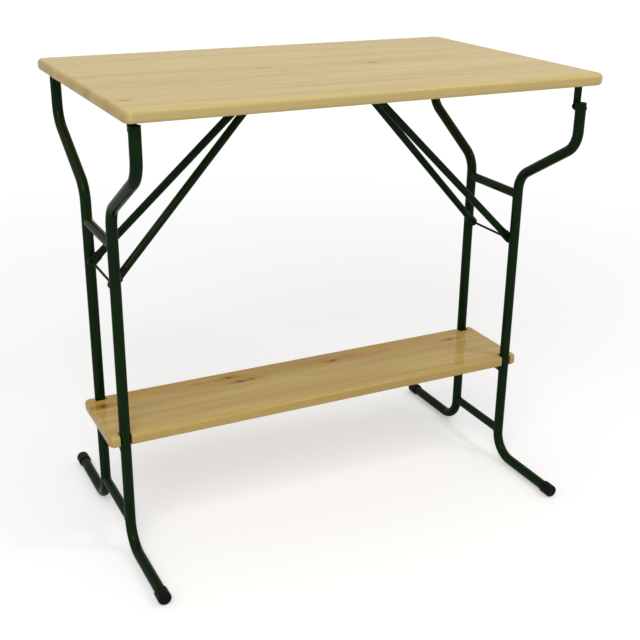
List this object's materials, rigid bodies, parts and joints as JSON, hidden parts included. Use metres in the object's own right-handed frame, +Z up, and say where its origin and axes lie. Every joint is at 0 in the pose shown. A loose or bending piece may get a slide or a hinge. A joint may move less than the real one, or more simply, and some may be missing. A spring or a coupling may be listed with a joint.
{
  "type": "folding bar table",
  "caption": "Standing-height folding bar table with a rounded pine top, bent green tube leg frames, V struts and a notched pine shelf between the legs.",
  "frame": {"origin": "on the floor under the middle of the table", "axes": "+Z up, +X along the tabletop's length, -Y towards the side that the picture shows"},
  "size_m": [1.115, 0.7, 1.08],
  "materials": {
    "pine": "satin lacquer",
    "green_paint": "gloss",
    "foot_rubber": "matte",
    "zinc_steel": "satin"
  },
  "bodies": {
    "frame": {"tabletop": "pine", "left_front_leg": "green_paint", "left_front_foot_cap": "foot_rubber", "left_front_hinge": "green_paint", "left_rear_leg": "green_paint", "left_rear_foot_cap": "foot_rubber", "left_rear_hinge": "green_paint", "left_upper_crossbar": "green_paint", "left_shelf_support_bar": "green_paint", "left_lower_crossbar": "green_paint", "left_catch": "zinc_steel", "left_strut_rod": "green_paint", "right_front_leg": "green_paint", "right_front_foot_cap": "foot_rubber", "right_front_hinge": "green_paint", "right_rear_leg": "green_paint", "right_rear_foot_cap": "foot_rubber", "right_rear_hinge": "green_paint", "right_upper_crossbar": "green_paint", "right_shelf_support_bar": "green_paint", "right_lower_crossbar": "green_paint", "right_catch": "zinc_steel", "right_strut_rod": "green_paint", "hinge_bolts": "green_paint", "hinge_nuts": "green_paint", "hinge_screws": "zinc_steel", "rod_spacers": "green_paint", "rod_caps": "green_paint", "catch_screws": "zinc_steel"},
    "left_strut": {"left_front_strut": "green_paint", "left_rear_strut": "green_paint", "left_strut_pin": "zinc_steel"},
    "right_strut": {"right_front_strut": "green_paint", "right_rear_strut": "green_paint", "right_strut_pin": "zinc_steel"},
    "shelf": {"shelf": "pine"}
  },
  "joints": [
    {"name": "left_strut_swing", "type": "hinge", "parent": "frame", "child": "left_strut", "pos_m": [-0.5198, 0, 0.656], "axis": [0, 1, 0], "range_deg": [0, 70]},
    {"name": "right_strut_swing", "type": "hinge", "parent": "frame", "child": "right_strut", "pos_m": [0.5234, 0, 0.623], "axis": [0, -1, 0], "range_deg": [0, 70]},
    {"name": "shelf_tilt", "type": "hinge", "parent": "frame", "child": "shelf", "pos_m": [0, 0.0882, 0.3018], "axis": [-1, 0, 0], "range_deg": [0, 30]}
  ]
}
